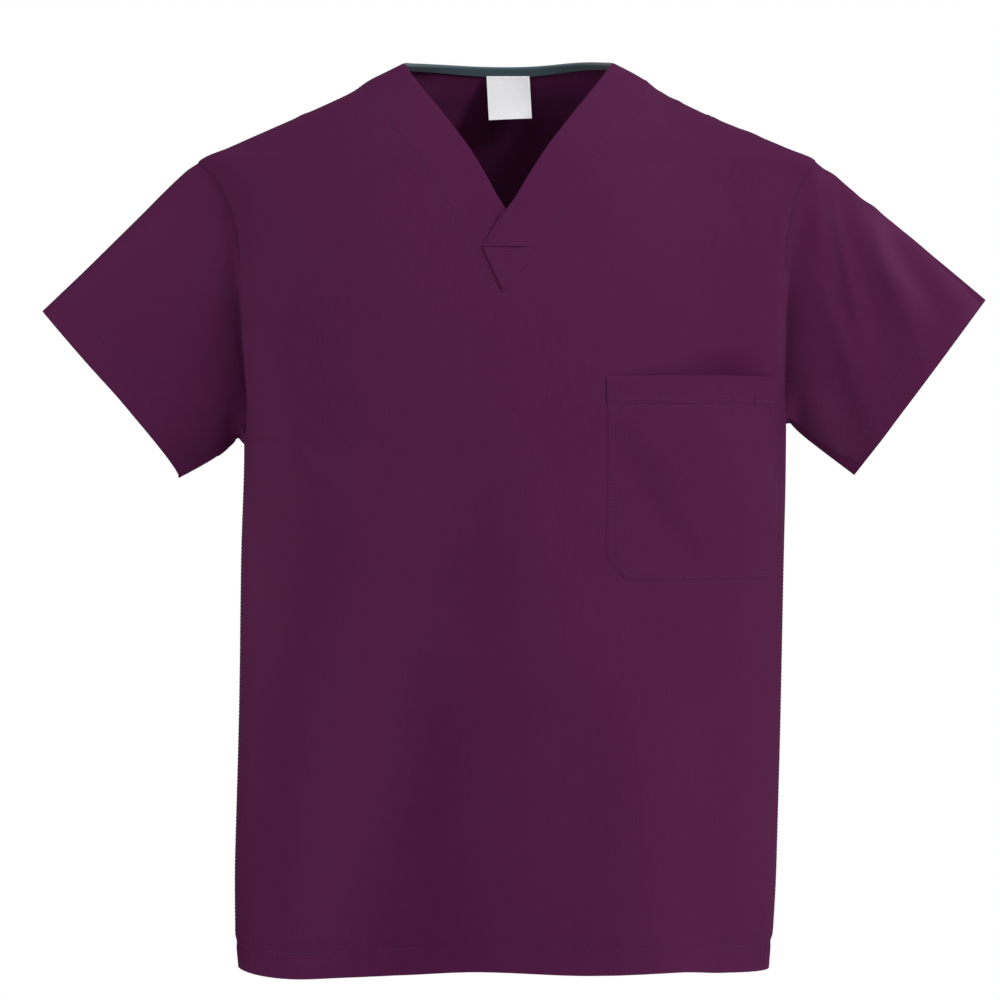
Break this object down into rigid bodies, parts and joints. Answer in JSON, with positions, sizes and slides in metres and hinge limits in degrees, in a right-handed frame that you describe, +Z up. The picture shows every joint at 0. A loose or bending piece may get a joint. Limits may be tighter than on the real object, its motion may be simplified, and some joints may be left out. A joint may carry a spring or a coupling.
{
  "type": "scrub top",
  "caption": "Short-sleeved V-neck scrub top with a lapped neck band and a chest pocket, hollow and filled out as if worn.",
  "frame": {"origin": "middle of the neck, level with the tops of the shoulder seams, where the wearer holds the top up", "axes": "+X to the wearer's left, +Y to the back, +Z up"},
  "size_m": [0.7776, 0.2371, 0.7529],
  "materials": {
    "plum_cloth": "matte plain-weave cotton blend",
    "teal_tape": "twill tape with a slight sheen",
    "white_label": "smooth woven satin, blank"
  },
  "bodies": {
    "root": {"front_panel": "plum_cloth", "back_panel": "plum_cloth", "front_hem": "plum_cloth", "back_hem": "plum_cloth", "right_neck_band": "plum_cloth", "left_neck_band": "plum_cloth", "neck_tab": "plum_cloth", "right_sleeve": "plum_cloth", "left_sleeve": "plum_cloth", "right_sleeve_hem": "plum_cloth", "left_sleeve_hem": "plum_cloth", "chest_pocket": "plum_cloth", "pocket_band": "plum_cloth", "back_neck_tape": "teal_tape", "neck_label": "white_label"}
  },
  "joints": []
}
